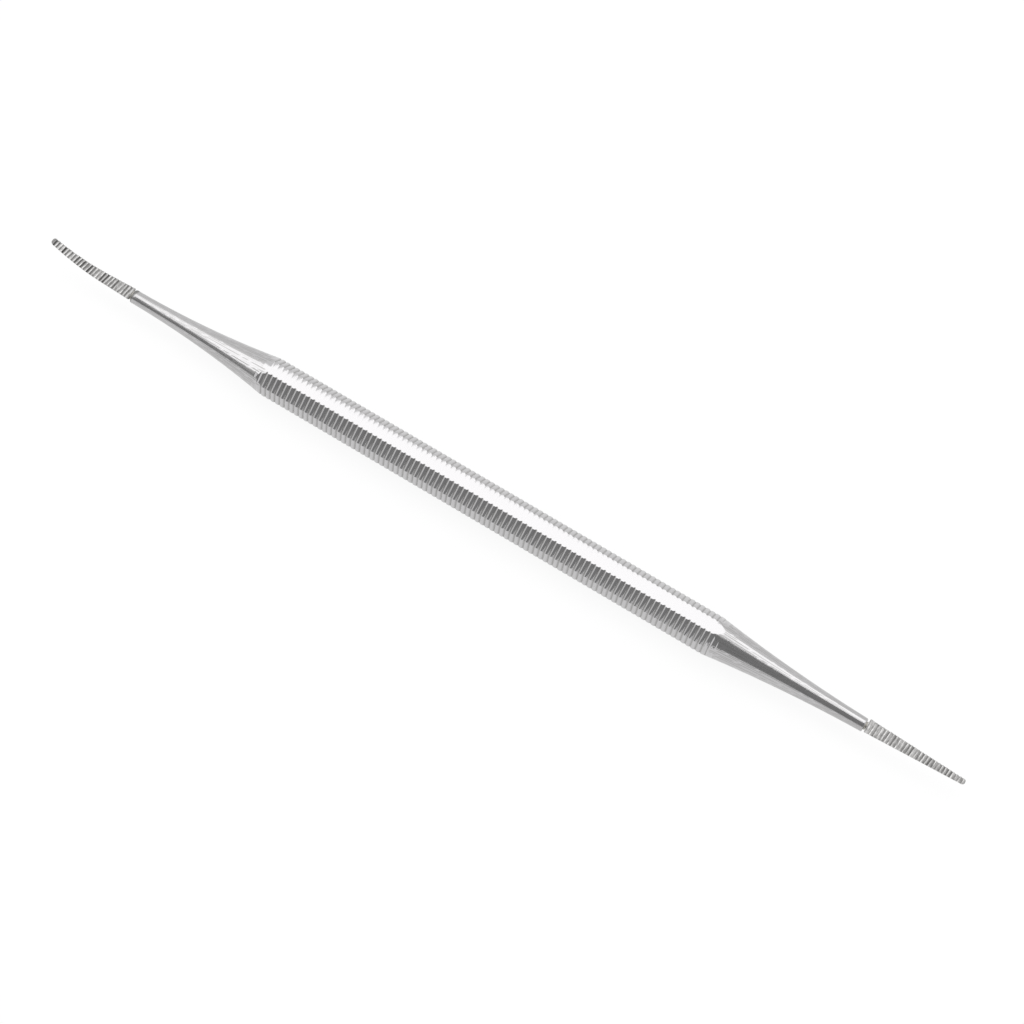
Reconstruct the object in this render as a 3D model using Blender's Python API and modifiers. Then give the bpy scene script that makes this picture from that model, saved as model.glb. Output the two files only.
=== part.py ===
"""Double-ended ingrown toenail lifter and file, built from its separate pieces.

The tool lies along X, with the straight file towards +X and the curved file
towards -X. It rests on one smooth facet of its octagonal grip, so Z = 0 is the
surface it lies on. The origin is midway between the two tips. Units are metres.
"""

import math

import bmesh
import bpy

MM = 0.001

# Octagonal grip
ACROSS_FLATS = 6.0 * MM
GRIP_LENGTH = 81.1 * MM          # where the middles of the facets run out

# Cross grooves, on every facet but the top and the bottom one
GROOVE_COUNT = 97                # the outermost ones run out in the tapers
GROOVE_PITCH = 0.8585 * MM
GROOVE_WIDTH = 0.56 * MM
GROOVE_DEPTH = 0.12 * MM
SMOOTH_FACETS = (90, 270)        # degrees from +Y towards +Z, about the tool's axis

# Turned tapers, one at each end of the grip. An arc is the radius of the hollow.
CURVED_END_TAPER = 24.3 * MM
CURVED_END_ARC = 158.0 * MM
STRAIGHT_END_TAPER = 24.6 * MM
STRAIGHT_END_ARC = 240.0 * MM
SHANK_END_RADIUS = 1.1 * MM
SHANK_END_ROUND = 0.2 * MM

# Joint between a blade and its shank
SEAM = 0.3 * MM                  # open groove between shank end and blade
TANG_RADIUS = 0.4 * MM
TANG_LENGTH = 6.0 * MM
TANG_CHAMFER = 0.1 * MM
BORE_RADIUS = 0.6 * MM
BORE_DEPTH = 6.5 * MM
SOLDER_CLEARANCE = 0.05 * MM     # modelling gap all round the solder
SOLDER_NECK = 5.0 * MM           # how far the solder runs into the bore
SOLDER_RING_RADIUS = 0.72 * MM   # a little inside the shank, so the seam shows as a notch

# Half-round blades, whose flat toothed face looks up
BLADE_FACE_HEIGHT = 0.42 * MM    # the flat face stands this far above the tool's axis
BLADE_FLATNESS = 0.85            # thickness over half width
NOSE_LENGTH = 1.1                # of the rounded tip, over the tip's radius
ROOT_CHAMFER = 0.12 * MM
BEND_START = 5.1 * MM            # straight stretch before the curved blade's bend
BEND_RADIUS = 21.5 * MM

# Of each blade: its length along the face, and half its width at the root and the tip
CURVED_BLADE = (15.15 * MM, 1.10 * MM, 0.60 * MM)
STRAIGHT_BLADE = (16.4 * MM, 1.18 * MM, 0.50 * MM)

# File teeth
TOOTH_PITCH = 0.6 * MM
TOOTH_DEPTH = 0.16 * MM
TOOTH_WIDTH = 0.5 * MM
TOOTH_LEAN = 0.13 * MM           # how far a tooth's valley sits from its middle
TOOTH_SKEW = math.radians(5.0)   # off square across the blade

# How finely the round shapes are drawn
TURNED_STEPS = 58
TAPER_STATIONS = 12
BLADE_STEPS = 12                 # round the half circle of a blade
BLADE_STATIONS = 18
TANG_STEPS = 20
SOLDER_STEPS = 24
ARC_STEPS = 3                    # along a small rounded edge
SHARP_ANGLE = math.radians(30.0)

MERGE = 1e-6                     # well under any real gap
CLEAR = 0.1 * MM                 # how far a shape stands out of what trims it
RACK_BACK = 1.5 * MM             # height of the tooth cutter over the flat face

APOTHEM = ACROSS_FLATS / 2
CORNER_RADIUS = APOTHEM / math.cos(math.pi / 8)
BAR_LENGTH = GRIP_LENGTH + CURVED_END_TAPER + STRAIGHT_END_TAPER

# Finishes: colour and roughness
HANDLE_FINISH = ((0.78, 0.78, 0.79), 0.16)
FILE_FINISH = ((0.66, 0.66, 0.67), 0.3)
SOLDER_FINISH = ((0.72, 0.70, 0.64), 0.4)


def start_clean():
    """Empty the scene and make one collection for the tool, one for its cutters."""
    for obj in list(bpy.data.objects):
        bpy.data.objects.remove(obj, do_unlink=True)
    collections = []
    for name in ("toenail_lifter", "cutters"):
        collection = bpy.data.collections.new(name)
        bpy.context.scene.collection.children.link(collection)
        collections.append(collection)
    return collections


def metal(name, finish):
    """A plain metal with the given colour and roughness."""
    colour, roughness = finish
    material = bpy.data.materials.new(name)
    material.use_nodes = True
    shader = material.node_tree.nodes["Principled BSDF"]
    shader.inputs["Base Color"].default_value = (*colour, 1.0)
    shader.inputs["Metallic"].default_value = 1.0
    shader.inputs["Roughness"].default_value = roughness
    return material


def add_object(name, data, collection, parent=None):
    obj = bpy.data.objects.new(name, data)
    collection.objects.link(obj)
    obj.parent = parent
    return obj


def as_cutter(obj):
    obj.hide_render = True
    obj.display_type = "WIRE"
    return obj


def evaluated_mesh(obj):
    """The object's mesh with its modifiers applied, in its own coordinates."""
    bpy.context.view_layer.update()
    graph = bpy.context.evaluated_depsgraph_get()
    return bpy.data.meshes.new_from_object(obj.evaluated_get(graph))


def boolean(obj, other, operation):
    modifier = obj.modifiers.new(other.name, "BOOLEAN")
    modifier.operation = operation
    modifier.solver = "EXACT"
    modifier.object = other


def turned(name, outline, steps, collection, parent, closed=False):
    """Turn an outline of (radius, height) points about Z, then lay Z along X."""
    mesh = bpy.data.meshes.new(name)
    bm = bmesh.new()
    verts = [bm.verts.new((radius, 0.0, height)) for radius, height in outline]
    for first, second in zip(verts, verts[1:]):
        bm.edges.new((first, second))
    if closed:
        bm.edges.new((verts[-1], verts[0]))
    bm.to_mesh(mesh)
    bm.free()
    obj = add_object(name, mesh, collection, parent)
    obj.rotation_euler = (0.0, math.pi / 2, 0.0)
    screw = obj.modifiers.new("Turn", "SCREW")
    screw.steps = steps
    screw.render_steps = steps
    screw.use_merge_vertices = True
    screw.merge_threshold = MERGE
    screw.use_smooth_shade = True
    return obj


def saw_outline(count):
    """Outline of a rack of V teeth that reaches down to TOOTH_DEPTH under zero.

    The flanks run on above zero, but by less than would make them cross.
    """
    reach = 1.0 + (TOOTH_PITCH / TOOTH_WIDTH - 1.0) / 2
    lift = TOOTH_DEPTH * (reach - 1.0)
    points = []
    for index in range(count):
        middle = (index - (count - 1) / 2) * TOOTH_PITCH
        valley = middle + TOOTH_LEAN
        for edge in (middle - TOOTH_WIDTH / 2, middle + TOOTH_WIDTH / 2):
            points.append((valley + (edge - valley) * reach, lift))
        points.insert(-1, (valley, -TOOTH_DEPTH))
    points.append((points[-1][0] + CLEAR, RACK_BACK))
    points.append((points[0][0] - CLEAR, RACK_BACK))
    return points


def rack(name, outline, half_width, collection, parent):
    """A flat outline in X and Y with thickness along Z, made a closed mesh."""
    curve = bpy.data.curves.new(name, "CURVE")
    curve.dimensions = "2D"
    curve.fill_mode = "BOTH"
    curve.extrude = half_width
    spline = curve.splines.new("POLY")
    spline.points.add(len(outline) - 1)
    for point, (x, y) in zip(spline.points, outline):
        point.co = (x, y, 0.0, 1.0)
    spline.use_cyclic_u = True
    curve_object = add_object(name, curve, collection)
    mesh = evaluated_mesh(curve_object)
    bpy.data.objects.remove(curve_object, do_unlink=True)
    bpy.data.curves.remove(curve)
    bm = bmesh.new()
    bm.from_mesh(mesh)
    bmesh.ops.remove_doubles(bm, verts=bm.verts, dist=MERGE)
    bmesh.ops.recalc_face_normals(bm, faces=bm.faces)
    bm.to_mesh(mesh)
    bm.free()
    mesh.name = name
    return as_cutter(add_object(name, mesh, collection, parent))


def quarter_round(radius, end, size):
    """Points of the rounded edge between a turned end face and the side below it."""
    points = []
    for step in range(ARC_STEPS + 1):
        angle = math.pi / 2 * step / ARC_STEPS
        across = radius - size + size * math.sin(angle)
        along = end - size + size * math.cos(angle)
        points.append((across, along))
    return points


def half_envelope(length, arc, outwards):
    """Outline of one end of the turned shape, from the bore's bottom to the grip."""
    end = BAR_LENGTH / 2
    points = [(0.0, end - BORE_DEPTH), (BORE_RADIUS, end - BORE_DEPTH), (BORE_RADIUS, end)]
    points += quarter_round(SHANK_END_RADIUS, end, SHANK_END_ROUND)

    # The taper's radius grows from the shank's end by this slope and its arc. It is
    # drawn evenly to where the middles of the facets run out, then to where their
    # corners do, and a little beyond.
    slope = (APOTHEM - SHANK_END_RADIUS) / length - length / (2 * arc)
    distances = []
    for station in range(1, TAPER_STATIONS + 1):
        part = station / TAPER_STATIONS
        distances.append(SHANK_END_ROUND + (length - SHANK_END_ROUND) * part)
    for radius in (CORNER_RADIUS, CORNER_RADIUS + CLEAR):
        growth = radius - SHANK_END_RADIUS
        distances.append(arc * (math.sqrt(slope ** 2 + 2 * growth / arc) - slope))
    for distance in distances:
        radius = SHANK_END_RADIUS + slope * distance + distance ** 2 / (2 * arc)
        points.append((radius, end - distance))
    return [(radius, outwards * height) for radius, height in points]


def grip_section(depth):
    """Corners of the octagon, as (height, side), its grooved facets sunk by a depth."""
    facets = []
    for angle in range(0, 360, 45):
        distance = APOTHEM if angle in SMOOTH_FACETS else APOTHEM - depth
        facets.append((math.radians(angle), distance))
    corners = []
    for (first, near), (second, far) in zip(facets, facets[1:] + facets[:1]):
        spread = math.sin(second - first)
        side = (near * math.sin(second) - far * math.sin(first)) / spread
        height = (far * math.cos(first) - near * math.cos(second)) / spread
        corners.append((height, side))
    return corners


def grooved_bar():
    """The bar before turning: an octagon extruded along X through every groove."""
    stations = [(-BAR_LENGTH / 2 - CLEAR, 0.0)]
    for index in range(GROOVE_COUNT):
        valley = (index - (GROOVE_COUNT - 1) / 2) * GROOVE_PITCH
        stations.append((valley - GROOVE_WIDTH / 2, 0.0))
        stations.append((valley, GROOVE_DEPTH))
        stations.append((valley + GROOVE_WIDTH / 2, 0.0))
    stations.append((BAR_LENGTH / 2 + CLEAR, 0.0))

    bm = bmesh.new()
    start = stations[0][0]
    first = [bm.verts.new((start, side, height)) for height, side in grip_section(0.0)]
    rim = [bm.edges.new(pair) for pair in zip(first, first[1:] + first[:1])]
    for along, depth in stations[1:]:
        corners = grip_section(depth)
        made = bmesh.ops.extrude_edge_only(bm, edges=rim)["geom"]
        fresh = {item for item in made if isinstance(item, bmesh.types.BMVert)}
        for vert in fresh:
            turn = math.degrees(math.atan2(vert.co.z, vert.co.y)) % 360
            height, side = corners[int(turn // 45)]
            vert.co = (along, side, height)
        edges = [item for item in made if isinstance(item, bmesh.types.BMEdge)]
        rim = [edge for edge in edges if fresh.issuperset(edge.verts)]
    ends = [edge for edge in bm.edges if edge.is_boundary]
    bmesh.ops.holes_fill(bm, edges=ends, sides=0)
    bmesh.ops.recalc_face_normals(bm, faces=bm.faces)
    return bm


def build_handle(collection, cutters, axis, middle):
    """Grooved octagonal bar, turned down to a shank at both ends and bored."""
    mesh = bpy.data.meshes.new("handle")
    bm = grooved_bar()
    bm.to_mesh(mesh)
    bm.free()
    bar = add_object("handle", mesh, collection, axis)
    bar.location.x = middle

    outline = half_envelope(STRAIGHT_END_TAPER, STRAIGHT_END_ARC, 1)
    outline += reversed(half_envelope(CURVED_END_TAPER, CURVED_END_ARC, -1))
    envelope = as_cutter(turned("turned_envelope", outline, TURNED_STEPS, cutters, axis))
    envelope.location.x = middle
    boolean(bar, envelope, "INTERSECT")
    bar.data.shade_smooth()
    bar.data.set_sharp_from_angle(angle=SHARP_ANGLE)
    bar.data.materials.append(metal("handle_steel", HANDLE_FINISH))
    return bar


def half_round(length, root_radius, tip_radius):
    """Closed half-round body along +X, its flat face up and its root at X = 0."""
    nose = NOSE_LENGTH * tip_radius
    shoulder = length - nose
    outline = [(0.0, 0.0), (0.0, root_radius - ROOT_CHAMFER)]
    for station in range(BLADE_STATIONS + 1):
        part = station / BLADE_STATIONS
        along = ROOT_CHAMFER + (shoulder - ROOT_CHAMFER) * part
        across = root_radius + (tip_radius - root_radius) * part
        outline.append((along, across))
    for step in range(1, ARC_STEPS + 1):
        angle = math.pi / 2 * step / ARC_STEPS
        outline.append((shoulder + nose * math.sin(angle), tip_radius * math.cos(angle)))
    outline[-1] = (length, 0.0)

    bm = bmesh.new()
    verts = [bm.verts.new((along, across, 0.0)) for along, across in outline]
    edges = [bm.edges.new(pair) for pair in zip(verts, verts[1:])]
    bmesh.ops.spin(bm, geom=verts + edges, cent=(0.0, 0.0, 0.0), axis=(1.0, 0.0, 0.0),
                   angle=-math.pi, steps=BLADE_STEPS)
    bmesh.ops.remove_doubles(bm, verts=bm.verts, dist=MERGE)
    for vert in bm.verts:
        vert.co.z = 0.0 if abs(vert.co.z) < MERGE else BLADE_FLATNESS * vert.co.z
    rim = [edge for edge in bm.edges if edge.is_boundary]
    bmesh.ops.holes_fill(bm, edges=rim, sides=0)
    bmesh.ops.recalc_face_normals(bm, faces=bm.faces)
    return bm


def bend_up(mesh):
    """Bend what lies beyond BEND_START upwards on an arc of BEND_RADIUS."""
    bm = bmesh.new()
    bm.from_mesh(mesh)
    for vert in bm.verts:
        beyond = vert.co.x - BEND_START
        if beyond > 0.0:
            angle = beyond / BEND_RADIUS
            arm = BEND_RADIUS - vert.co.z
            vert.co.x = BEND_START + arm * math.sin(angle)
            vert.co.z = BEND_RADIUS - arm * math.cos(angle)
    bm.to_mesh(mesh)
    bm.free()


def build_blade(name, sizes, bent, collection, cutters, axis):
    """A file blade along +X with its root at X = 0 and its tang along -X."""
    length, root_radius, tip_radius = sizes
    mesh = bpy.data.meshes.new(name)
    bm = half_round(length, root_radius, tip_radius)
    bm.to_mesh(mesh)
    bm.free()
    blade = add_object(name, mesh, collection)

    count = int((length - tip_radius) / TOOTH_PITCH)
    half_width = root_radius + CLEAR + length * math.sin(TOOTH_SKEW)
    teeth = rack(f"{name}_teeth", saw_outline(count), half_width, cutters, None)
    teeth.location.x = length / 2
    teeth.rotation_euler = (math.pi / 2, 0.0, -TOOTH_SKEW)
    boolean(blade, teeth, "DIFFERENCE")

    # The tang starts inside the blade, so that the two become one body.
    outline = [(0.0, TANG_RADIUS), (TANG_RADIUS, TANG_RADIUS)]
    outline += [(TANG_RADIUS, -TANG_LENGTH + TANG_CHAMFER)]
    outline += [(TANG_RADIUS - TANG_CHAMFER, -TANG_LENGTH), (0.0, -TANG_LENGTH)]
    tang = as_cutter(turned(f"{name}_tang", outline, TANG_STEPS, cutters, None))
    tang.location.z = -BLADE_FACE_HEIGHT
    boolean(blade, tang, "UNION")

    shaped = evaluated_mesh(blade)
    shaped.name = name
    blade.modifiers.clear()
    blade.data = shaped
    for cutter in (teeth, tang):
        bpy.data.objects.remove(cutter, do_unlink=True)
    if bent:
        bend_up(shaped)
    shaped.shade_smooth()
    shaped.set_sharp_from_angle(angle=SHARP_ANGLE)
    shaped.materials.clear()
    shaped.materials.append(metal(f"{name}_steel", FILE_FINISH))
    blade.parent = axis
    blade.location.z = BLADE_FACE_HEIGHT
    return blade


def build_solder(name, collection, axis):
    """Sleeve of solder in the bore, with the ring that shows in the seam."""
    inner = TANG_RADIUS + SOLDER_CLEARANCE
    neck = BORE_RADIUS - SOLDER_CLEARANCE
    outline = [
        (inner, SEAM - SOLDER_CLEARANCE),
        (SOLDER_RING_RADIUS, SEAM - SOLDER_CLEARANCE),
        (SOLDER_RING_RADIUS, SOLDER_CLEARANCE),
        (neck, SOLDER_CLEARANCE),
        (neck, -SOLDER_NECK),
        (inner, -SOLDER_NECK),
    ]
    ring = turned(name, outline, SOLDER_STEPS, collection, axis, closed=True)
    ring.data.materials.append(metal(f"{name}_silver", SOLDER_FINISH))
    return ring


def main():
    collection, cutters = start_clean()
    bend_angle = (CURVED_BLADE[0] - BEND_START) / BEND_RADIUS
    curved_reach = BEND_START + BEND_RADIUS * math.sin(bend_angle)
    middle = (curved_reach - STRAIGHT_BLADE[0]) / 2
    axis = add_object("tool_axis", None, collection)
    axis.location.z = APOTHEM

    build_handle(collection, cutters, axis, middle)
    straight = build_blade("straight_file", STRAIGHT_BLADE, False, collection, cutters, axis)
    straight.location.x = middle + BAR_LENGTH / 2 + SEAM
    curved = build_blade("curved_file", CURVED_BLADE, True, collection, cutters, axis)
    curved.location.x = middle - BAR_LENGTH / 2 - SEAM
    curved.rotation_euler.z = math.pi
    solder = build_solder("straight_end_solder", collection, axis)
    solder.location.x = middle + BAR_LENGTH / 2
    solder = build_solder("curved_end_solder", collection, axis)
    solder.location.x = middle - BAR_LENGTH / 2
    solder.rotation_euler.y = -math.pi / 2


main()
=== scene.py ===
"""Looks of the double-ended ingrown toenail lifter and file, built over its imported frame.

The tool lies along X on one smooth facet of its grip, straight file towards +X. Sizes
are in metres. They are the CAD nodes' own, but for what the solids leave plain: the
grooves' rolled shoulders, the rounded corners, the uneven teeth, the fuller noses and
the solder's hollow face. All of it stays inside the CAD box.
"""

import math
import random

import bmesh
import bpy
from mathutils import Matrix, Vector


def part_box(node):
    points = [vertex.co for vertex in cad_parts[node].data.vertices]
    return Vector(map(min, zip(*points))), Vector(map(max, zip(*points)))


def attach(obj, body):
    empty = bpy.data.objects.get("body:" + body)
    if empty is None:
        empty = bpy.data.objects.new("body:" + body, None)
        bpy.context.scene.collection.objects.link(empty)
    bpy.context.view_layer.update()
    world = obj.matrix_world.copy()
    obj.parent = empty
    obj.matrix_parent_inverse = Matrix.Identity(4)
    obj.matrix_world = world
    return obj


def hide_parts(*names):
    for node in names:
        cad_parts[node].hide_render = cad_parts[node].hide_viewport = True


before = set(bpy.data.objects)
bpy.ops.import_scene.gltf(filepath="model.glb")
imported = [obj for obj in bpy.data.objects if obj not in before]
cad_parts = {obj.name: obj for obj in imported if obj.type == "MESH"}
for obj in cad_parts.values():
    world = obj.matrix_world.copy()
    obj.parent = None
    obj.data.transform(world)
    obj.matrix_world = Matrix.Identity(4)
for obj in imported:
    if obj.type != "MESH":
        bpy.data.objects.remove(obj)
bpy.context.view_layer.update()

MM = 0.001
MERGE = 1e-7                     # closes seams and poles, well under any real gap
OVERSHOOT = 0.1 * MM             # how far a shape stands out of what trims it

# The octagonal grip and its cross grooves
APOTHEM = 3.0 * MM
CORNER_RADIUS = APOTHEM / math.cos(math.pi / 8)
EDGE_ROUND = 0.13 * MM
EDGE_SEGMENTS = 3
FACET_TOLERANCE = 0.01 * MM
SMOOTH_FACETS = (90, 270)        # degrees from +Y towards +Z, about the tool's axis
GROOVE_COUNT = 97
GROOVE_PITCH = 0.8585 * MM
# One groove, as (distance from its middle, depth) in mm: rolled shoulders, worn valley
GROOVE_PROFILE = [
    (-0.290, 0.0), (-0.250, 0.006), (-0.205, 0.024), (-0.055, 0.103), (0.0, 0.118),
    (0.055, 0.103), (0.205, 0.024), (0.250, 0.006), (0.290, 0.0),
]
GROOVE_DEPTH = max(depth for _, depth in GROOVE_PROFILE) * MM

# The turned tapers: length, and radius of the hollow
CURVED_END = (24.3 * MM, 158.0 * MM)
STRAIGHT_END = (24.6 * MM, 240.0 * MM)
SHANK_END_RADIUS = 1.1 * MM
SHANK_END_ROUND = 0.2 * MM
SHANK_END_STEPS = 6
TURNED_STEPS = 128
TAPER_STATIONS = 48
# The duller end at the curved file, darkened with painted shade for the dark rim of the rounded
# shank end: full up to the first distance and gone at the second, along a direction that lets its
# edge run a little aslant
END_SHADE_FULL = 0.35 * MM
END_SHADE_GONE = 0.6 * MM
END_SHADE_DIRECTION = (1.0, -0.25, 0.0)

# Tang, bore and seam
SEAM = 0.3 * MM
TANG_RADIUS = 0.4 * MM
TANG_LENGTH = 6.0 * MM
TANG_CHAMFER = 0.1 * MM
TANG_INSIDE = 0.4 * MM           # how far the tang reaches into the blade
TANG_STEPS = 40
BORE_RADIUS = 0.6 * MM
BORE_DEPTH = 6.5 * MM

# Solder: a sleeve in the bore, and a ring that fills most of the seam
SLEEVE_LENGTH = 5.0 * MM
SLEEVE_INNER = 0.45 * MM
SLEEVE_OUTER = 0.55 * MM
# In mm, because these are added up first: where the ring starts, its width, its radius
# and how deep its face is hollowed
RING_START = 0.05
RING_WIDTH = 0.2
RING_RADIUS = 0.72 * MM
RING_HOLLOW = 0.05 * MM
RING_PARTS = (0.0, 0.2, 0.4, 0.6, 0.8, 1.0)
SOLDER_STEPS = 48

# Blades
FACE_HEIGHT = 0.42 * MM
FLATNESS = 0.85                  # thickness over half width
ROOT_ROUND = 0.12 * MM
TIP_HELD_BACK = 0.05 * MM        # keeps the rounded nose inside the CAD box
NOSE_LENGTH = 1.1                # over half the tip's width
NOSE_FULLNESS = 2.6              # 2 is an ellipse, more is squarer
NOSE_PARTS = (0.45, 0.65, 0.8, 0.9, 0.96, 0.99)
BEND_START = 5.1 * MM
BEND_RADIUS = 21.5 * MM
# Of each blade: its length, and half its width at the root and the tip
CURVED_BLADE = (15.15 * MM, 1.10 * MM, 0.60 * MM)
STRAIGHT_BLADE = (16.4 * MM, 1.18 * MM, 0.50 * MM)
BACK_STEPS = 20                  # round the half-round back
FACE_STEPS = 5                   # across the toothed face

# Teeth
TOOTH_PITCH = 0.6 * MM
TOOTH_DEPTH = 0.16 * MM
TOOTH_SKEW = math.radians(5.0)
# Share of the tooth depth at distances in mm from a tooth's middle: a long slope down,
# a rounded valley and a short steep flank up to the next crest
TOOTH_PROFILE = [
    (-0.27, 0.03), (-0.23, 0.12), (0.04, 0.88), (0.09, 1.0), (0.14, 0.9), (0.24, 0.14),
    (0.27, 0.03),
]
# Unevenness: how far a tooth strays from its place in mm, the ranges that its depth and
# skew are multiplied by, and the range of how dark its valley is: swarf and painted shade
TOOTH_STRAY = 0.025
TOOTH_DEPTHS = (0.7, 1.1)
TOOTH_SKEWS = (0.3, 1.7)
TOOTH_SWARF_AND_SHADE = (0.35, 1.1)
ROOT_SKEW = 0.2
NOSE_SKEW = 0.6
# Painted shade all round the blade's root and its nose
ROOT_SHADE = 0.8
NOSE_SHADE = 0.7

# The photograph's camera. Angles are in degrees: how far it leans towards +X and to the
# front, and how steeply the tool's axis runs down to the right
CAMERA_SIDEWAYS = 9.0
CAMERA_FORWARD = 26.0
CAMERA_SLANT = 30.39
CAMERA_DISTANCE = 385.5 * MM
CAMERA_TARGET = (2.69 * MM, 0.0, APOTHEM)
CAMERA_TARGET_OVER = 0.80 * MM   # the target's shift square to the tool in the picture
LENS = 89.7                      # in mm, as is the sensor's width
SENSOR = 36.0
CLIPPING = (0.01, 20.0)

# The studio. Directions are (azimuth, elevation) in degrees from the tool
FLOOR_HALF_SIZE = 3.0
FLOOR_GLOW = 0.9                 # the rest is left to the lamps, for the shadow
FILL_STRENGTH = 0.8              # of the white tent, as light on the tool
OVERHEAD_DIRECTION = (212, 62)
OVERHEAD_DISTANCE = 1.2
OVERHEAD_SIZE = (1.6, 1.0)
OVERHEAD_RADIANCE = 1.45
# Where the polished tapers show the softbox's face, and the dark of the room on the
# camera's side
SOFTBOX_CORNERS = ((102, 65), (105, 79), (-48, 60), (-41, 46), (-36, 31), (-51, 27),
                   (-121, 51), (158, 40))
ROOM_CORNERS = ((-37, 6), (-12, 8), (2, 21), (10, 17), (26, 17), (36, 4), (80, 4),
                (100, 85), (-60, 75), (-48, 60), (-37, 45))

# Sockets of a Mix node on colours
SHARE, FIRST, SECOND, MIXED = 0, 6, 7, 2


def linear(hex_colour):
    """sRGB hex to the linear values that shaders take."""
    values = []
    for start in (1, 3, 5):
        level = int(hex_colour[start:start + 2], 16) / 255
        values.append(level / 12.92 if level <= 0.04045 else ((level + 0.055) / 1.055) ** 2.4)
    return (*values, 1.0)


def add_node(tree, kind, settings=None, inputs=None, links=None):
    """One shader node with its settings, socket values and incoming links."""
    node = tree.nodes.new(kind)
    for name, value in (settings or {}).items():
        setattr(node, name, value)
    for socket, value in (inputs or {}).items():
        node.inputs[socket].default_value = value
    for socket, source in (links or {}).items():
        tree.links.new(source, node.inputs[socket])
    return node


def start_metal(name):
    """A metal's material, with the tree, shader and Object coordinates it starts from."""
    material = bpy.data.materials.new(name)
    material.use_nodes = True
    tree = material.node_tree
    shader = tree.nodes["Principled BSDF"]
    shader.inputs["Metallic"].default_value = 1.0
    place = add_node(tree, "ShaderNodeTexCoord").outputs["Object"]
    return material, tree, shader, place


def polished_stainless():
    """Stainless bar, ground and mirror polished: clear reflections, hairline marks
    along the tool and a faint cloud of handling on the smooth facets. The wheel leaves
    the bottoms of the grooves matt, and they are darkened with painted shade. The end
    at the curved file is duller, and darkened with painted shade: the dark rim that the
    rounded shank end shows."""
    material, tree, shader, place = start_metal("polished_stainless_steel")
    # Hairlines 0.05 mm wide and a few millimetres long
    lines = add_node(tree, "ShaderNodeMapping", inputs={"Scale": (300.0, 20000.0, 20000.0)},
                     links={"Vector": place})
    hair = add_node(tree, "ShaderNodeTexNoise", inputs={"Scale": 1.0, "Detail": 3.0},
                    links={"Vector": lines.outputs["Vector"]})
    bump = add_node(tree, "ShaderNodeBump", inputs={"Strength": 0.08, "Distance": 0.02 * MM},
                    links={"Height": hair.outputs["Fac"]})
    # Clouding in patches of about 3 mm
    cloud = add_node(tree, "ShaderNodeTexNoise", inputs={"Scale": 350.0, "Detail": 4.0},
                     links={"Vector": place})
    rough = add_node(tree, "ShaderNodeMapRange", inputs={"From Min": 0.3, "From Max": 0.7,
                     "To Min": 0.07, "To Max": 0.13}, links={"Value": cloud.outputs["Fac"]})
    slanted = add_node(tree, "ShaderNodeVectorMath", {"operation": "DOT_PRODUCT"},
                       {1: END_SHADE_DIRECTION}, {0: place})
    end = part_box("handle")[0].x
    # Mask of the curved file's end: duller, and painted shade
    shaded_end = add_node(tree, "ShaderNodeMapRange", {"interpolation_type": "SMOOTHSTEP"},
                      {"From Min": end + END_SHADE_FULL, "From Max": end + END_SHADE_GONE,
                       "To Min": 1.0, "To Max": 0.0}, {"Value": slanted.outputs["Value"]})
    # The grooves' bottoms and the curved file's end are rougher, and darker with painted shade
    groove = add_node(tree, "ShaderNodeAttribute", {"attribute_name": "painted_shade"})
    matt = add_node(tree, "ShaderNodeMath", {"operation": "MULTIPLY_ADD"}, {1: 0.28},
                    {0: groove.outputs["Fac"], 2: rough.outputs["Result"]})
    dull = add_node(tree, "ShaderNodeMath", {"operation": "MULTIPLY_ADD"}, {1: 0.3},
                    {0: shaded_end.outputs["Result"], 2: matt.outputs["Value"]})
    # Groove bottoms in a darker grey: painted shade
    steel = add_node(tree, "ShaderNodeMix", {"data_type": "RGBA"},
                     {FIRST: linear("#c0bfc0"), SECOND: linear("#a09f9e")},
                     {SHARE: groove.outputs["Fac"]})
    # A darker grey at the curved file's end: painted shade
    steel_with_end_shade = add_node(tree, "ShaderNodeMix", {"data_type": "RGBA"}, {SECOND: linear("#868584")},
                      {SHARE: shaded_end.outputs["Result"], FIRST: steel.outputs[MIXED]})
    tree.links.new(dull.outputs["Value"], shader.inputs["Roughness"])
    tree.links.new(bump.outputs["Normal"], shader.inputs["Normal"])
    tree.links.new(steel_with_end_shade.outputs[MIXED], shader.inputs["Base Color"])
    return material


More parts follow.
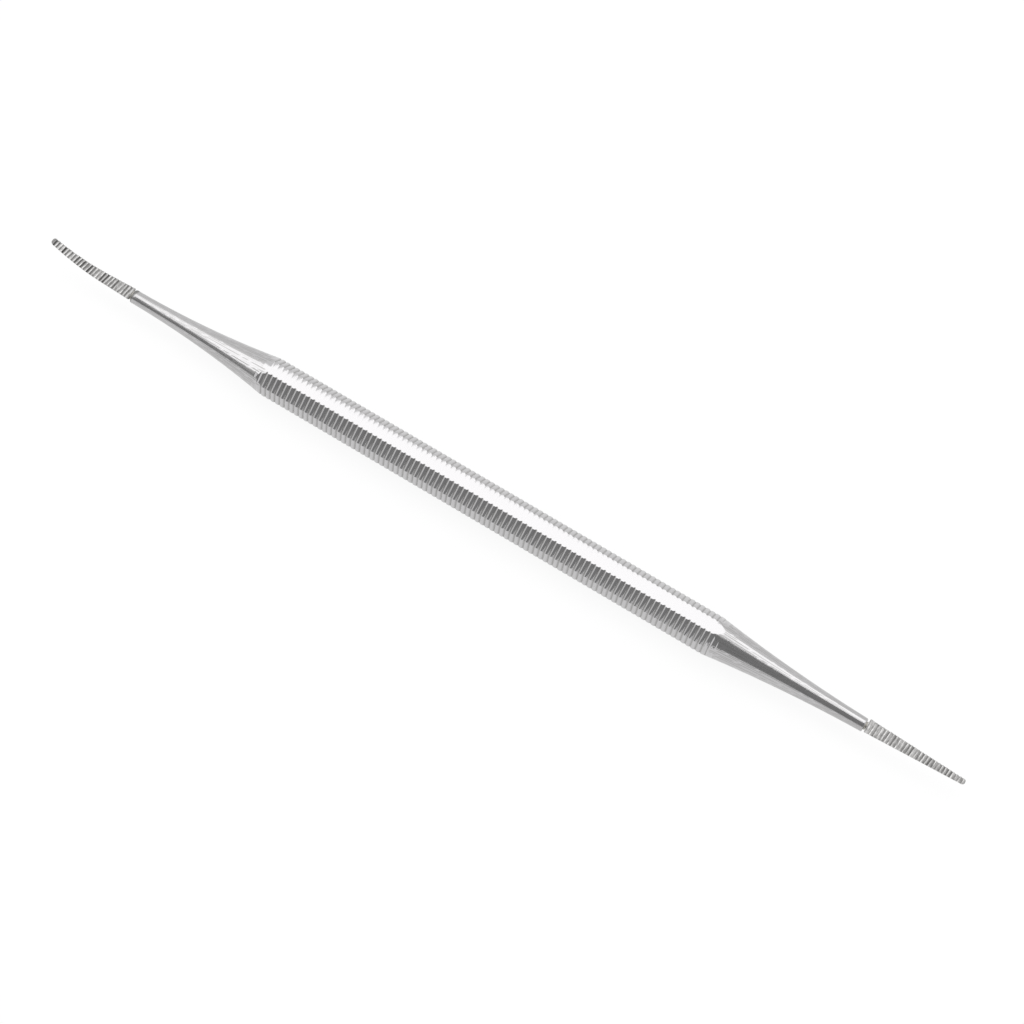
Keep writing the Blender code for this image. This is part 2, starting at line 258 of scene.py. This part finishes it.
def cut_stainless():
    """Hardened stainless file blade, its teeth cut with a chisel and never polished:
    grey and broken up, with torn streaks across the blade. Valleys are darker with swarf
    and painted shade, so the crests stand out brighter, and painted shade darkens the
    root and the nose."""
    material, tree, shader, place = start_metal("cut_stainless_steel")
    # Torn streaks across the blade, 0.15 mm along it and 0.8 mm across: real ones are
    # finer, too fine for the picture
    streaks = add_node(tree, "ShaderNodeMapping", inputs={"Scale": (6500.0, 1250.0, 1250.0)},
                       links={"Vector": place})
    torn = add_node(tree, "ShaderNodeTexNoise", inputs={"Scale": 1.0, "Detail": 3.0},
                    links={"Vector": streaks.outputs["Vector"]})
    tone = add_node(tree, "ShaderNodeValToRGB", links={"Fac": torn.outputs["Fac"]})
    dark, light = tone.color_ramp.elements
    dark.position, dark.color = 0.34, linear("#a6a5a4")
    light.position, light.color = 0.64, linear("#dddcdb")
    # Swarf and painted shade in the teeth, painted shade at the root and the nose
    tooth = add_node(tree, "ShaderNodeAttribute", {"attribute_name": "painted_shade"})
    swarf_and_shade = add_node(tree, "ShaderNodeMath", {"operation": "MULTIPLY"}, {1: 0.9},
                    {0: tooth.outputs["Fac"]})
    # Darker grey for swarf and painted shade
    streaked_and_shaded = add_node(tree, "ShaderNodeMix", {"data_type": "RGBA"}, {SECOND: linear("#565554")},
                    {SHARE: swarf_and_shade.outputs["Value"], FIRST: tone.outputs["Color"]})
    rough = add_node(tree, "ShaderNodeMapRange", inputs={"From Min": 0.3, "From Max": 0.7,
                     "To Min": 0.46, "To Max": 0.28}, links={"Value": torn.outputs["Fac"]})
    bump = add_node(tree, "ShaderNodeBump", inputs={"Strength": 0.35, "Distance": 0.03 * MM},
                    links={"Height": torn.outputs["Fac"]})
    tree.links.new(streaked_and_shaded.outputs[MIXED], shader.inputs["Base Color"])
    tree.links.new(rough.outputs["Result"], shader.inputs["Roughness"])
    tree.links.new(bump.outputs["Normal"], shader.inputs["Normal"])
    return material


def silver_solder():
    """Silver brazing alloy as it sets in a seam: pale, dull, slightly pitted."""
    material, tree, shader, place = start_metal("silver_solder")
    # Pits about 0.1 mm across
    pits = add_node(tree, "ShaderNodeTexNoise", inputs={"Scale": 9000.0, "Detail": 2.0},
                    links={"Vector": place})
    rough = add_node(tree, "ShaderNodeMapRange", inputs={"From Min": 0.3, "From Max": 0.7,
                     "To Min": 0.32, "To Max": 0.5}, links={"Value": pits.outputs["Fac"]})
    bump = add_node(tree, "ShaderNodeBump", inputs={"Strength": 0.3, "Distance": 0.03 * MM},
                    links={"Height": pits.outputs["Fac"]})
    tree.links.new(rough.outputs["Result"], shader.inputs["Roughness"])
    tree.links.new(bump.outputs["Normal"], shader.inputs["Normal"])
    shader.inputs["Base Color"].default_value = linear("#b9b6ae")
    return material


def piece(name, bm, material):
    """A finished object at the origin, from a bmesh in the tool's own frame."""
    mesh = bpy.data.meshes.new(name)
    bm.to_mesh(mesh)
    bm.free()
    obj = bpy.data.objects.new(name, mesh)
    bpy.context.scene.collection.objects.link(obj)
    mesh.materials.append(material)
    return obj


def apply_modifiers(obj):
    """Put the evaluated mesh in place of the plain one."""
    bpy.context.view_layer.update()
    graph = bpy.context.evaluated_depsgraph_get()
    made = bpy.data.meshes.new_from_object(obj.evaluated_get(graph))
    obj.modifiers.clear()
    obj.data = made


def smooth_with_flats(obj, sharp_degrees):
    """Smooth shading that leaves the large faces flat and keeps the sharp edges."""
    obj.data.shade_smooth()
    obj.data.set_sharp_from_angle(angle=math.radians(sharp_degrees))
    weighted = obj.modifiers.new("Flats", "WEIGHTED_NORMAL")
    weighted.mode = "FACE_AREA"
    weighted.keep_sharp = True
    apply_modifiers(obj)


def turned(outline, steps):
    """Spin an outline of (x, radius) points about X into a closed bmesh."""
    bm = bmesh.new()
    verts = [bm.verts.new((along, 0.0, radius)) for along, radius in outline]
    edges = [bm.edges.new(pair) for pair in zip(verts, verts[1:])]
    bmesh.ops.spin(bm, geom=verts + edges, cent=(0.0, 0.0, 0.0), axis=(1.0, 0.0, 0.0),
                   angle=math.tau, steps=steps, use_merge=True)
    bmesh.ops.remove_doubles(bm, verts=bm.verts, dist=MERGE)
    bmesh.ops.recalc_face_normals(bm, faces=bm.faces)
    return bm


def taper_outline(length, arc):
    """(distance inwards from the shank's end face, radius), from the bore outwards. It
    runs on past the octagon's corners, so that the bar alone bounds the grip."""
    points = [(BORE_DEPTH, 0.0), (BORE_DEPTH, BORE_RADIUS), (0.0, BORE_RADIUS)]
    for step in range(SHANK_END_STEPS + 1):
        angle = math.pi / 2 * step / SHANK_END_STEPS
        points.append((SHANK_END_ROUND * (1 - math.cos(angle)),
                       SHANK_END_RADIUS - SHANK_END_ROUND * (1 - math.sin(angle))))
    slope = (APOTHEM - SHANK_END_RADIUS) / length - length / (2 * arc)
    growth = CORNER_RADIUS + OVERSHOOT - SHANK_END_RADIUS
    reach = arc * (math.sqrt(slope ** 2 + 2 * growth / arc) - slope)
    for station in range(1, TAPER_STATIONS + 1):
        distance = SHANK_END_ROUND + (reach - SHANK_END_ROUND) * station / TAPER_STATIONS
        radius = SHANK_END_RADIUS + slope * distance + distance ** 2 / (2 * arc)
        points.append((distance, radius))
    return points


def corner_drift(index):
    """How a corner of the octagon moves, in Y and Z, while its grooved facets sink."""
    rows = []
    for facet in (index, index + 1):
        degrees = 45 * facet % 360
        angle = math.radians(degrees)
        rows.append((math.cos(angle), math.sin(angle), 0.0 if degrees in SMOOTH_FACETS else -1.0))
    # The two facets' planes, each sunk by its own share, meet in the corner's new place.
    (a, b, p), (c, d, q) = rows
    spread = a * d - b * c
    return Vector((0.0, (p * d - b * q) / spread, (a * q - c * p) / spread))


def grooved_bar(middle, length):
    """Rounded octagon extruded along X through every groove. The attribute of painted
    shade is 0 on the crests and the smooth facets and 1 at the bottom of a groove."""
    bm = bmesh.new()
    painted_shade = bm.verts.layers.float.new("painted_shade")
    ring = bmesh.ops.create_circle(bm, cap_ends=False, segments=8,
                                   radius=CORNER_RADIUS)["verts"]
    # The circle lies in XY: stand it up and turn a flat to the top.
    bmesh.ops.rotate(bm, verts=ring, cent=(0, 0, 0), matrix=Matrix.Rotation(math.pi / 8, 3, "Z"))
    bmesh.ops.transform(bm, verts=ring, matrix=Matrix(((0, 0, 1, 0), (1, 0, 0, 0),
                                                       (0, 1, 0, 0), (0, 0, 0, 1))))
    bmesh.ops.bevel(bm, geom=ring, affect="VERTICES", offset=EDGE_ROUND, offset_type="OFFSET",
                    segments=EDGE_SEGMENTS, profile=0.5, material=-1)
    start = middle - length / 2
    bmesh.ops.translate(bm, verts=bm.verts, vec=(start, 0.0, 0.0))
    drift = [corner_drift(index) for index in range(8)]

    stations = []
    for index in range(GROOVE_COUNT):
        centre = middle + (index - (GROOVE_COUNT - 1) / 2) * GROOVE_PITCH
        stations += [(centre + offset * MM, depth * MM) for offset, depth in GROOVE_PROFILE]
    stations.append((middle + length / 2, 0.0))

    rim = list(bm.edges)
    last_depth = 0.0
    for along, depth in stations:
        made = bmesh.ops.extrude_edge_only(bm, edges=rim)["geom"]
        fresh = [item for item in made if isinstance(item, bmesh.types.BMVert)]
        for vert in fresh:
            corner = int(math.degrees(math.atan2(vert.co.z, vert.co.y)) % 360 // 45)
            vert.co += drift[corner] * (depth - last_depth)
            vert.co.x = along
            smooth = abs(vert.co.z) > APOTHEM - FACET_TOLERANCE
            # Share of painted shade: none on the smooth facets, full at a groove's bottom
            vert[painted_shade] = 0.0 if smooth else depth / GROOVE_DEPTH
        kept = set(fresh)
        rim = [item for item in made
               if isinstance(item, bmesh.types.BMEdge) and kept.issuperset(item.verts)]
        last_depth = depth
    bmesh.ops.holes_fill(bm, edges=[edge for edge in bm.edges if edge.is_boundary], sides=0)
    bmesh.ops.recalc_face_normals(bm, faces=bm.faces)
    return bm


def build_handle(material):
    """Grooved octagonal bar, turned down at both ends by one Boolean."""
    low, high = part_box("handle")
    middle, length = (low.x + high.x) / 2, high.x - low.x
    bar = piece("grip_and_shanks", grooved_bar(middle, length + 2 * OVERSHOOT), material)
    outline = [(high.x - distance, radius) for distance, radius in taper_outline(*STRAIGHT_END)]
    outline += [(low.x + distance, radius)
                for distance, radius in reversed(taper_outline(*CURVED_END))]
    envelope = piece("turned_envelope", turned(outline, TURNED_STEPS), material)
    trim = bar.modifiers.new("Turning", "BOOLEAN")
    trim.operation = "INTERSECT"
    trim.solver = "EXACT"
    trim.object = envelope
    apply_modifiers(bar)
    bpy.data.objects.remove(envelope, do_unlink=True)
    bar.data.transform(Matrix.Translation((0.0, 0.0, APOTHEM)))
    smooth_with_flats(bar, sharp_degrees=28)
    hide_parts("handle")
    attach(bar, "root")


def half_width(along, sizes):
    """Half the blade's width at a distance from its root."""
    length, root, tip = sizes
    nose = NOSE_LENGTH * tip
    shoulder = length - nose
    width = root + (tip - root) * min(along, shoulder) / shoulder
    if along < ROOT_ROUND:
        width -= ROOT_ROUND - math.sqrt(ROOT_ROUND ** 2 - (ROOT_ROUND - along) ** 2)
    if along > shoulder:
        part = (along - shoulder) / nose
        width *= (1.0 - part ** NOSE_FULLNESS) ** (1 / NOSE_FULLNESS)
    return width


def blade_stations(sizes, seed, tip_darkening):
    """(distance from the root, tooth depth, skew, swarf and painted shade) of each section.
    The last argument is how much darker a tooth is made at the tip than at the root."""
    length, _, tip = sizes
    hand = random.Random(seed)
    stations = [(0.0, 0.0, 0.0, ROOT_SHADE), (0.25 * ROOT_ROUND, 0.0, 0.0, ROOT_SHADE),
                (ROOT_ROUND, 0.0, ROOT_SKEW, ROOT_SHADE)]
    count = int((length - tip) / TOOTH_PITCH)
    first = (length - (count - 1) * TOOTH_PITCH) / 2
    for index in range(count):
        middle = first + index * TOOTH_PITCH + hand.uniform(-TOOTH_STRAY, TOOTH_STRAY) * MM
        depth = TOOTH_DEPTH * hand.uniform(*TOOTH_DEPTHS)
        skew = hand.uniform(*TOOTH_SKEWS)
        # Swarf and painted shade in this tooth's valley
        swarf = hand.uniform(*TOOTH_SWARF_AND_SHADE) + tip_darkening * middle / length
        for offset, share in TOOTH_PROFILE:
            stations.append((middle + offset * MM, depth * share, skew, swarf * share))
    shoulder = length - NOSE_LENGTH * tip
    for part in NOSE_PARTS:
        along = shoulder + (length - shoulder) * part
        stations.append((along, 0.0, NOSE_SKEW * (1.0 - part), NOSE_SHADE))
    return stations


def blade_section(along, depth, skew, sizes):
    """Points round one section: the half-round back, then across the toothed face."""
    width = half_width(along, sizes)
    start = math.asin(depth / (FLATNESS * width))
    points = []
    for step in range(BACK_STEPS + 1):
        angle = start + (math.pi - 2 * start) * step / BACK_STEPS
        points.append((width * math.cos(angle), -FLATNESS * width * math.sin(angle)))
    edge = points[0][0]
    for step in range(1, FACE_STEPS):
        points.append((-edge + 2 * edge * step / FACE_STEPS, -depth))
    return [Vector((along + side * math.tan(TOOTH_SKEW) * skew, side, height))
            for side, height in points]


def file_blade(sizes, seed, tip_darkening):
    """Half-round blade along +X with its root at X = 0, extruded tooth by tooth. The
    attribute of painted shade holds the swarf and painted shade on the toothed face, and
    the painted shade all round the root and the nose."""
    stations = blade_stations(sizes, seed, tip_darkening)
    bm = bmesh.new()
    painted_shade = bm.verts.layers.float.new("painted_shade")
    ring = [bm.verts.new(point) for point in blade_section(*stations[0][:3], sizes)]
    rim = [bm.edges.new(pair) for pair in zip(ring, ring[1:] + ring[:1])]
    for vert in ring:
        vert[painted_shade] = stations[0][3]
    for along, depth, skew, swarf_and_shade in stations[1:]:
        bmesh.ops.extrude_edge_only(bm, edges=rim)
        bm.verts.ensure_lookup_table()
        bm.edges.ensure_lookup_table()
        ring = bm.verts[-len(ring):]
        section = blade_section(along, depth, skew, sizes)
        for index, (vert, point) in enumerate(zip(ring, section)):
            vert.co = point
            # Swarf and painted shade on the toothed face, painted shade all round at the root and
            # the nose
            on_face = index >= BACK_STEPS or index == 0
            vert[painted_shade] = swarf_and_shade if depth == 0.0 or on_face else 0.0
        rim = [bm.edges.get(pair) for pair in zip(ring, ring[1:] + ring[:1])]
    bmesh.ops.holes_fill(bm, edges=[edge for edge in bm.edges if edge.is_boundary], sides=0)
    bmesh.ops.recalc_face_normals(bm, faces=bm.faces)
    return bm


def bend_up(bm):
    """Bend what lies beyond BEND_START upwards, as the curved file is."""
    for vert in bm.verts:
        beyond = vert.co.x - BEND_START
        if beyond > 0.0:
            angle = beyond / BEND_RADIUS
            arm = BEND_RADIUS - vert.co.z
            vert.co.x = BEND_START + arm * math.sin(angle)
            vert.co.z = BEND_RADIUS - arm * math.cos(angle)


def add_tang(bm):
    """The round tang behind the blade, from inside the blade to its chamfered end."""
    outline = [(TANG_INSIDE, 0.0), (TANG_INSIDE, TANG_RADIUS),
               (-TANG_LENGTH + TANG_CHAMFER, TANG_RADIUS),
               (-TANG_LENGTH, TANG_RADIUS - TANG_CHAMFER), (-TANG_LENGTH, 0.0)]
    tang = turned(outline, TANG_STEPS)
    bmesh.ops.translate(tang, verts=tang.verts, vec=(0.0, 0.0, -FACE_HEIGHT))
    loose = bpy.data.meshes.new("tang")
    tang.to_mesh(loose)
    tang.free()
    bm.from_mesh(loose)
    bpy.data.meshes.remove(loose)


def build_file(name, node, sizes, seed, tip_darkening, bent, material):
    """A file blade with its tang, set at its end of the handle."""
    length, root, tip = sizes
    bm = file_blade((length - TIP_HELD_BACK, root, tip), seed, tip_darkening)
    if bent:
        bend_up(bm)
    add_tang(bm)
    low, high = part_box("handle")
    if bent:
        place = Matrix.Translation((low.x - SEAM, 0.0, APOTHEM + FACE_HEIGHT))
        place = place @ Matrix.Rotation(math.pi, 4, "Z")
    else:
        place = Matrix.Translation((high.x + SEAM, 0.0, APOTHEM + FACE_HEIGHT))
    bmesh.ops.transform(bm, verts=bm.verts, matrix=place)
    blade = piece(name, bm, material)
    smooth_with_flats(blade, sharp_degrees=24)
    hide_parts(node)
    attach(blade, "root")


def build_solder(name, node, end, outwards, material):
    """Solder sleeve with a hollow meniscus between the shank and the blade's root."""
    outline = [(-SLEEVE_LENGTH, SLEEVE_INNER), (-SLEEVE_LENGTH, SLEEVE_OUTER),
               (RING_START * MM, SLEEVE_OUTER)]
    for part in RING_PARTS:
        outline.append(((RING_START + RING_WIDTH * part) * MM,
                        RING_RADIUS - RING_HOLLOW * math.sin(math.pi * part)))
    outline += [((RING_START + RING_WIDTH) * MM, SLEEVE_INNER), outline[0]]
    bm = turned([(end + outwards * along, radius) for along, radius in outline], SOLDER_STEPS)
    bmesh.ops.translate(bm, verts=bm.verts, vec=(0.0, 0.0, APOTHEM))
    solder = piece(name, bm, material)
    smooth_with_flats(solder, sharp_degrees=40)
    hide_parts(node)
    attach(solder, "root")


def plain_rays(tree):
    """Socket that is 1 for camera, glossy and transmission rays and 0 for the others."""
    path = add_node(tree, "ShaderNodeLightPath")
    seen = add_node(tree, "ShaderNodeMath", {"operation": "MAXIMUM"},
                    links={0: path.outputs["Is Camera Ray"], 1: path.outputs["Is Glossy Ray"]})
    either = add_node(tree, "ShaderNodeMath", {"operation": "MAXIMUM"},
                      links={0: seen.outputs["Value"], 1: path.outputs["Is Transmission Ray"]})
    return either.outputs["Value"]


def lay_floor():
    """White table. The camera and the steel see it as plain white, and a part of it
    is left to the lamps so that the tool's shadow stays."""
    bm = bmesh.new()
    bmesh.ops.create_grid(bm, x_segments=1, y_segments=1, size=FLOOR_HALF_SIZE)
    material = bpy.data.materials.new("white_table")
    material.use_nodes = True
    tree = material.node_tree
    tree.nodes.clear()
    share = add_node(tree, "ShaderNodeMath", {"operation": "MULTIPLY"}, {1: FLOOR_GLOW},
                     {0: plain_rays(tree)})
    lit = add_node(tree, "ShaderNodeBsdfDiffuse", inputs={"Color": linear("#ffffff")})
    glow = add_node(tree, "ShaderNodeEmission", inputs={"Color": linear("#ffffff")})
    mix = add_node(tree, "ShaderNodeMixShader", links={
        0: share.outputs["Value"], 1: lit.outputs["BSDF"], 2: glow.outputs["Emission"]})
    add_node(tree, "ShaderNodeOutputMaterial", links={"Surface": mix.outputs["Shader"]})
    floor = piece("table", bm, material)


def light_world():
    """White tent all round: strength 1 to the camera and to reflections, and a little
    less as light on the tool."""
    world = bpy.data.worlds.new("tent")
    bpy.context.scene.world = world
    world.use_nodes = True
    tree = world.node_tree
    level = add_node(tree, "ShaderNodeMapRange",
                     inputs={"To Min": FILL_STRENGTH, "To Max": 1.0},
                     links={"Value": plain_rays(tree)})
    tree.links.new(level.outputs["Result"], tree.nodes["Background"].inputs["Strength"])
    tree.nodes["Background"].inputs["Color"].default_value = linear("#ffffff")


def polar(azimuth, elevation, distance):
    """A place round the tool: azimuth 0 in front (-Y), 90 towards +X."""
    across, up = math.radians(azimuth), math.radians(elevation)
    return Vector((math.sin(across) * math.cos(up), -math.cos(across) * math.cos(up),
                   math.sin(up))) * distance


def add_softbox(name, place, size, radiance):
    """Rectangular softbox that faces the tool. It only lights it: neither the camera nor
    the steel's reflections see the box itself."""
    lamp = bpy.data.lights.new(name, "AREA")
    lamp.shape = "RECTANGLE"
    lamp.size, lamp.size_y = size
    lamp.energy = radiance * math.pi * size[0] * size[1]
    obj = bpy.data.objects.new(name, lamp)
    bpy.context.scene.collection.objects.link(obj)
    obj.location = place
    obj.rotation_mode = "QUATERNION"
    obj.rotation_quaternion = place.to_track_quat("Z", "Y")
    obj.visible_camera = False
    obj.visible_glossy = False


def add_card(name, facing, distance, corners, colour, strength):
    """Flat card of the studio that only the steel sees. It stands square to the
    direction it faces, and its corners are given as (azimuth, elevation) too."""
    square = polar(*facing, 1.0)
    bm = bmesh.new()
    for azimuth, elevation in corners:
        sight = polar(azimuth, elevation, 1.0)
        bm.verts.new(sight * distance / sight.dot(square))
    bmesh.ops.contextual_create(bm, geom=list(bm.verts))
    material = bpy.data.materials.new(name)
    material.use_nodes = True
    tree = material.node_tree
    tree.nodes.clear()
    glow = add_node(tree, "ShaderNodeEmission",
                    inputs={"Color": linear(colour), "Strength": strength})
    add_node(tree, "ShaderNodeOutputMaterial", links={"Surface": glow.outputs["Emission"]})
    card = piece(name, bm, material)
    for ray in ("camera", "diffuse", "shadow", "transmission", "volume_scatter"):
        setattr(card, f"visible_{ray}", False)


def set_camera():
    """The photograph's view, from above, the front and a little from the +X side."""
    sideways, forward, slant = (math.radians(angle) for angle in (
        CAMERA_SIDEWAYS, CAMERA_FORWARD, CAMERA_SLANT))
    view = Vector((math.sin(sideways), -math.cos(sideways) * math.sin(forward),
                   math.cos(sideways) * math.cos(forward)))
    along = (Vector((1.0, 0.0, 0.0)) - view.x * view).normalized()
    over = view.cross(along)
    right = math.cos(slant) * along + math.sin(slant) * over
    up = view.cross(right)
    target = Vector(CAMERA_TARGET) + CAMERA_TARGET_OVER * over
    lens = bpy.data.cameras.new("camera")
    lens.sensor_width = SENSOR
    lens.lens = LENS
    lens.clip_start, lens.clip_end = CLIPPING
    camera = bpy.data.objects.new("camera", lens)
    bpy.context.scene.collection.objects.link(camera)
    turn = Matrix((right, up, view)).transposed().to_4x4()
    camera.matrix_world = Matrix.Translation(target + CAMERA_DISTANCE * view) @ turn
    bpy.context.scene.camera = camera


def main():
    scene = bpy.context.scene
    scene.view_settings.view_transform = "Standard"
    set_camera()
    light_world()
    lay_floor()
    build_handle(polished_stainless())
    blade_steel = cut_stainless()
    # The curved file's tip is the darker one: its teeth are darkened more towards the tip
    build_file("straight_file_blade", "straight_file", STRAIGHT_BLADE, seed=7,
               tip_darkening=0.0, bent=False, material=blade_steel)
    build_file("curved_file_blade", "curved_file", CURVED_BLADE, seed=3,
               tip_darkening=0.5, bent=True, material=blade_steel)
    solder = silver_solder()
    low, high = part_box("handle")
    build_solder("straight_end_seam", "straight_end_solder", end=high.x, outwards=1.0,
                 material=solder)
    build_solder("curved_end_seam", "curved_end_solder", end=low.x, outwards=-1.0,
                 material=solder)
    add_softbox("overhead", polar(*OVERHEAD_DIRECTION, OVERHEAD_DISTANCE), OVERHEAD_SIZE,
                OVERHEAD_RADIANCE)
    add_card("softbox_face", facing=(0, 90), distance=1.2, corners=SOFTBOX_CORNERS,
             colour="#ffffff", strength=1.85)
    add_card("dark_room", facing=(20, 48), distance=1.5, corners=ROOM_CORNERS,
             colour="#959595", strength=1.0)


main()
